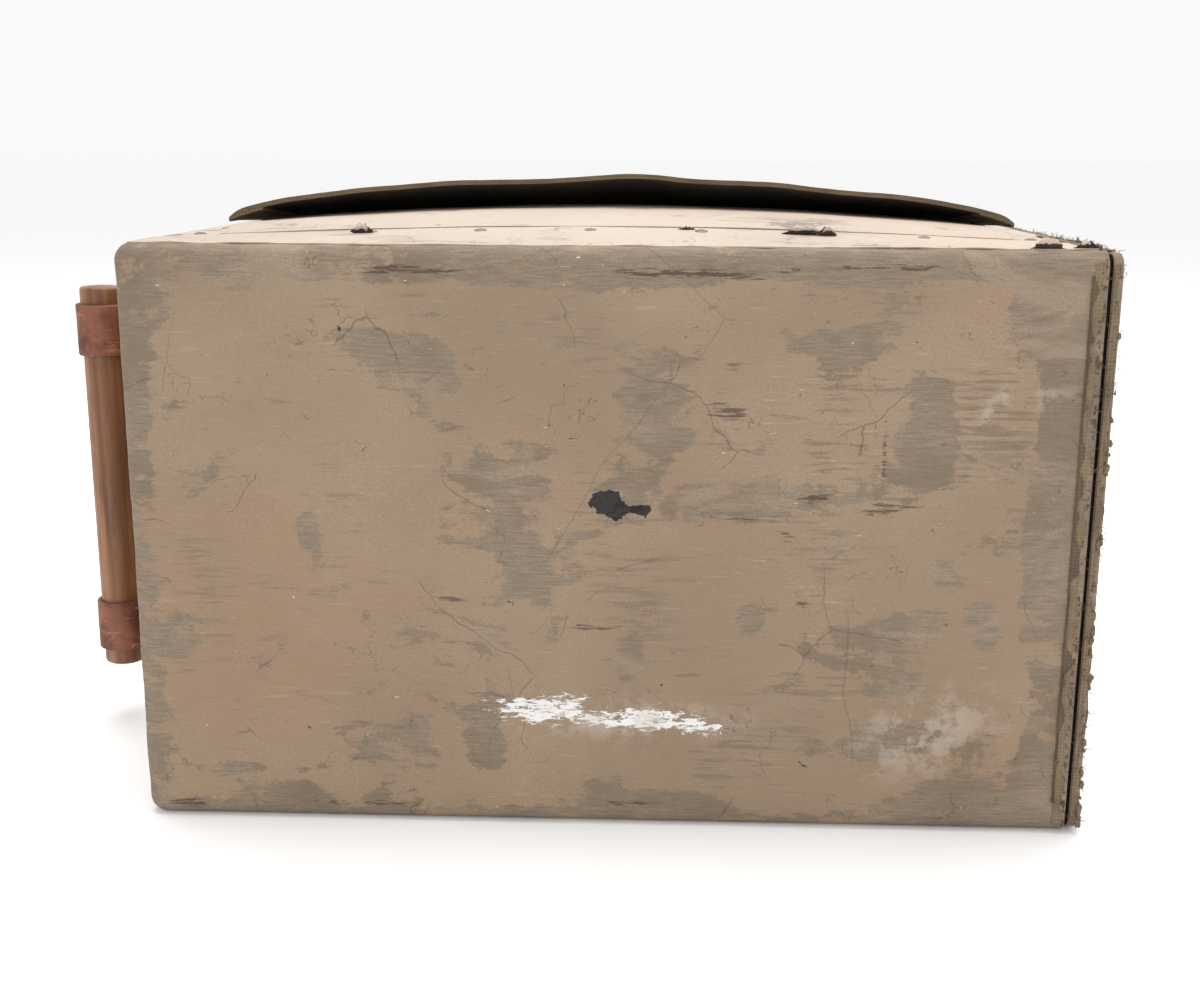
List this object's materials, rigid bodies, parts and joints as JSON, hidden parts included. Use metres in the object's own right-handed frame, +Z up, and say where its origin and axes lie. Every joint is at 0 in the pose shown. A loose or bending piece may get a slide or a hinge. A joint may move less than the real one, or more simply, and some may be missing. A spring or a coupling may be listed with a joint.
{
  "type": "box camera",
  "caption": "Large oblong box camera in a worn canvas-covered case, with warped top flaps, a wooden carrying grip and a lens behind a hinged front cover.",
  "frame": {"origin": "mouth of the tripod bush, in the middle of the case's underside", "axes": "+X the way the lens looks, out of the front cover; -X the carrying-grip end; +Z up; -Y the near long side"},
  "size_m": [0.6494, 0.349, 0.3784],
  "materials": {
    "painted_canvas": "worn tan paint over grey canvas",
    "fibre": "painted vulcanised fibre",
    "pine": "planed",
    "mahogany": "satin varnish",
    "grip_wood": "dark stain",
    "rivet_metal": "dull",
    "leather": "worn",
    "lining_cloth": "black",
    "steel": "dull",
    "brass": "lacquered",
    "clear_glass": "polished",
    "frosted_glass": "ground on one side",
    "dark_fibre": "black vulcanised fibre"
  },
  "bodies": {
    "case": {"bottom_canvas": "painted_canvas", "side_canvas": "painted_canvas", "base_board": "pine", "near_side_board": "pine", "far_side_board": "pine", "rear_end_board": "pine", "corner_battens": "pine", "lens_bulkhead": "pine", "mouth_frame": "pine", "near_top_flange": "fibre", "end_top_flanges": "fibre", "far_top_flange": "fibre", "top_flange_rivets": "rivet_metal", "inner_flap_hinge_fixed_leaf": "leather", "top_flap_hinge_fixed_leaf": "leather", "top_flap_hinge_tacks": "rivet_metal", "cover_hinge_case_leaves": "steel", "handle_staples": "steel", "lens_board": "mahogany", "lens_screws": "rivet_metal", "lens_flange": "brass", "lens_barrel": "brass", "lens_elements": "clear_glass", "retaining_rings": "brass", "focusing_runners": "mahogany", "rod_bushing": "brass", "holder_rack": "pine", "tripod_bush": "steel", "port_ring": "brass", "port_cover_pivot": "brass"},
    "inner_flap": {"inner_flap_board": "fibre", "inner_flap_hinge_moving_leaf": "leather"},
    "top_flap": {"top_flap_board": "fibre", "top_flap_hems": "leather"},
    "front_cover": {"front_cover_lining": "lining_cloth", "front_cover_board": "pine", "front_cover_canvas": "painted_canvas", "front_cover_tacks": "rivet_metal", "front_cover_pull": "leather", "cover_hinge_cover_leaves": "steel"},
    "handle": {"handle_loops": "leather", "handle_loop_rivets": "rivet_metal", "grip_dowel": "grip_wood"},
    "waterhouse_stop": {"waterhouse_stop": "steel"},
    "lens_cap": {"lens_cap": "leather"},
    "carriage": {"sledge_boards": "mahogany", "plate_frame": "mahogany", "rod_bracket": "brass", "focusing_rod": "steel", "focusing_knob": "mahogany", "screen_pivot_brackets": "brass", "turn_button_post": "brass"},
    "focusing_screen": {"screen_frame": "mahogany", "ground_glass": "frosted_glass", "screen_pivot_pins": "steel"},
    "screen_turn_button": {"screen_turn_button": "brass"},
    "plate_holder": {"plate_holder_body": "mahogany", "glass_plate": "frosted_glass"},
    "dark_slide": {"dark_slide": "dark_fibre"},
    "port_cover": {"port_cover": "brass"}
  },
  "joints": [
    {"name": "top_flap_hinge", "type": "hinge", "parent": "case", "child": "top_flap", "pos_m": [0, 0.1465, 0.3466], "axis": [-1, 0, 0], "range_deg": [0, 165]},
    {"name": "inner_flap_hinge", "type": "hinge", "parent": "case", "child": "inner_flap", "pos_m": [0, -0.1145, 0.3512], "axis": [1, 0, 0], "range_deg": [0, 91]},
    {"name": "front_cover_hinge", "type": "hinge", "parent": "case", "child": "front_cover", "pos_m": [0.2724, 0.1745, 0.1715], "axis": [0, 0, 1], "range_deg": [0, 175]},
    {"name": "handle_swing", "type": "hinge", "parent": "case", "child": "handle", "pos_m": [-0.289, 0, 0.1715], "axis": [0, 0, 1], "range_deg": [-60, 60]},
    {"name": "stop_slide", "type": "slide", "parent": "case", "child": "waterhouse_stop", "axis": [0, 0, 1], "range_m": [0, 0.045]},
    {"name": "lens_cap_slide", "type": "slide", "parent": "case", "child": "lens_cap", "axis": [1, 0, 0], "range_m": [0, 0.02]},
    {"name": "focus_slide", "type": "slide", "parent": "case", "child": "carriage", "axis": [-1, 0, 0], "range_m": [0, 0.08]},
    {"name": "screen_swing", "type": "hinge", "parent": "carriage", "child": "focusing_screen", "pos_m": [0.0002, 0.0715, 0.1715], "axis": [0, 0, -1], "range_deg": [0, 90]},
    {"name": "turn_button_turn", "type": "hinge", "parent": "carriage", "child": "screen_turn_button", "pos_m": [-0.0075, -0.084, 0.1715], "axis": [-1, 0, 0], "range_deg": [0, 90]},
    {"name": "plate_holder_lift", "type": "slide", "parent": "case", "child": "plate_holder", "axis": [0, 0, 1], "range_m": [0, 0.09]},
    {"name": "dark_slide_pull", "type": "slide", "parent": "plate_holder", "child": "dark_slide", "axis": [0, 0, 1], "range_m": [0, 0.09]},
    {"name": "port_cover_swing", "type": "hinge", "parent": "case", "child": "port_cover", "pos_m": [-0.285, -0.085, 0.271], "axis": [1, 0, 0], "range_deg": [-110, 110]}
  ],
  "couplings": [
    {"joint": "inner_flap_hinge", "follows": "top_flap_hinge", "ratio": 0.55}
  ]
}
